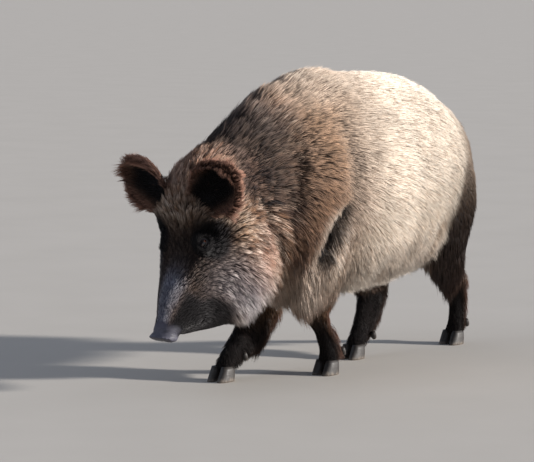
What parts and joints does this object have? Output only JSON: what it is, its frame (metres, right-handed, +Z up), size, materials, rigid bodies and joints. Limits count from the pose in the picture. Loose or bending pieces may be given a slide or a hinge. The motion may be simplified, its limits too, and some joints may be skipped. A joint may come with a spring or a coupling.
{
  "type": "wild boar",
  "caption": "Life-size still model of a wild boar in winter coat, walking with its head lowered to the ground.",
  "frame": {"origin": "on the ground, under the middle of the animal's bounding box", "axes": "+Z up, -Y the way the animal walks and faces, +X its left side"},
  "size_m": [0.4334, 1.3834, 0.8413],
  "materials": {
    "coat": "long, coarse, grizzled brown bristle over underwool",
    "dark_coat": "short blackish brown hair",
    "snout_skin": "bare, moist, slate-grey skin",
    "horn": "dull dark horn",
    "eye": "wet, glossy, reddish brown"
  },
  "bodies": {
    "root": {"dewclaw_foreleg_left_inner": "horn", "dewclaw_foreleg_left_outer": "horn", "dewclaw_foreleg_right_inner": "horn", "dewclaw_foreleg_right_outer": "horn", "dewclaw_hindleg_left_inner": "horn", "dewclaw_hindleg_left_outer": "horn", "dewclaw_hindleg_right_inner": "horn", "dewclaw_hindleg_right_outer": "horn", "ear_left": "dark_coat", "ear_right": "dark_coat", "eye_left": "eye", "eye_right": "eye", "foreleg_left_lower": "dark_coat", "foreleg_left_upper": "coat", "foreleg_right_lower": "dark_coat", "foreleg_right_upper": "coat", "head": "coat", "hindleg_left_lower": "dark_coat", "hindleg_left_upper": "coat", "hindleg_right_lower": "dark_coat", "hindleg_right_upper": "coat", "hoof_foreleg_left_inner": "horn", "hoof_foreleg_left_outer": "horn", "hoof_foreleg_right_inner": "horn", "hoof_foreleg_right_outer": "horn", "hoof_hindleg_left_inner": "horn", "hoof_hindleg_left_outer": "horn", "hoof_hindleg_right_inner": "horn", "hoof_hindleg_right_outer": "horn", "lower_jaw": "coat", "neck": "coat", "snout_disc": "snout_skin", "tail": "dark_coat", "trunk": "coat"}
  },
  "joints": []
}
